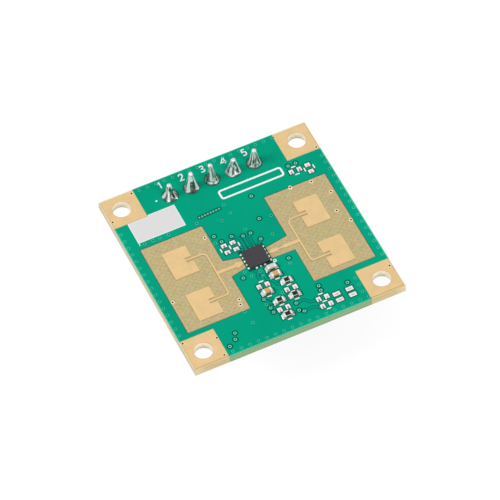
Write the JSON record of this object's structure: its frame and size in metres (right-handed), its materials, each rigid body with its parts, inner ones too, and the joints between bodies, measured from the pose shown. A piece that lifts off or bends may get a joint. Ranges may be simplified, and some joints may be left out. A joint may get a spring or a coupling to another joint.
{
  "type": "microwave radar sensor module",
  "caption": "Square radar motion sensor board with patch antennas on one face, a transceiver chip between them, mounting holes at the corners and a straight pin header underneath.",
  "frame": {"origin": "centre of the four mounting holes, on the underside faces of the bare corner pads", "axes": "+Z out of the antenna face, +Y towards the pin header, +X along the pin row from pin 1 to pin 5"},
  "size_m": [0.025, 0.0252, 0.0123],
  "materials": {
    "laminate": "woven glass and epoxy, satin",
    "gold_copper": "gold-flashed copper, satin",
    "solder_mask": "green solder mask, semi-gloss",
    "print": "white print, matte",
    "solder": "bright tin solder",
    "pin_metal": "gold-flashed brass",
    "strip_plastic": "moulded black, satin",
    "mould_compound": "moulded epoxy, matte",
    "capacitor_ceramic": "sintered, satin",
    "resistor_ceramic": "sintered, matte",
    "resistor_glass": "dark overcoat, semi-gloss"
  },
  "bodies": {
    "root": {"amplifier_body": "mould_compound", "amplifier_leads": "solder", "antenna_copper_left": "gold_copper", "antenna_copper_right": "gold_copper", "bare_lands": "solder", "board_laminate": "laminate", "bottom_capacitor_1_body": "capacitor_ceramic", "bottom_capacitor_1_terminals": "solder", "bottom_capacitor_2_body": "capacitor_ceramic", "bottom_capacitor_2_terminals": "solder", "bottom_capacitor_3_body": "capacitor_ceramic", "bottom_capacitor_3_terminals": "solder", "bottom_capacitor_4_body": "capacitor_ceramic", "bottom_capacitor_4_terminals": "solder", "bulk_capacitor_body": "capacitor_ceramic", "bulk_capacitor_terminals": "solder", "capacitor_1_body": "capacitor_ceramic", "capacitor_1_terminals": "solder", "capacitor_2_body": "capacitor_ceramic", "capacitor_2_terminals": "solder", "capacitor_3_body": "capacitor_ceramic", "capacitor_3_terminals": "solder", "ground_copper_bottom": "gold_copper", "ground_copper_top": "gold_copper", "header_lands": "gold_copper", "header_pin_1": "pin_metal", "header_pin_2": "pin_metal", "header_pin_3": "pin_metal", "header_pin_4": "pin_metal", "header_pin_5": "pin_metal", "header_strip": "strip_plastic", "microcontroller_body": "mould_compound", "microcontroller_leads": "solder", "print_marks": "print", "regulator_body": "mould_compound", "regulator_leads": "solder", "resistor_1_body": "resistor_ceramic", "resistor_1_terminals": "solder", "resistor_2_body": "resistor_ceramic", "resistor_2_terminals": "solder", "resistor_3_body": "resistor_ceramic", "resistor_3_terminals": "solder", "resistor_4_body": "resistor_ceramic", "resistor_4_terminals": "solder", "resistor_coats": "resistor_glass", "solder_joint_1": "solder", "solder_joint_2": "solder", "solder_joint_3": "solder", "solder_joint_4": "solder", "solder_joint_5": "solder", "solder_mask_bottom": "solder_mask", "solder_mask_top": "solder_mask", "transceiver_body": "mould_compound", "transceiver_leads": "solder"}
  },
  "joints": []
}
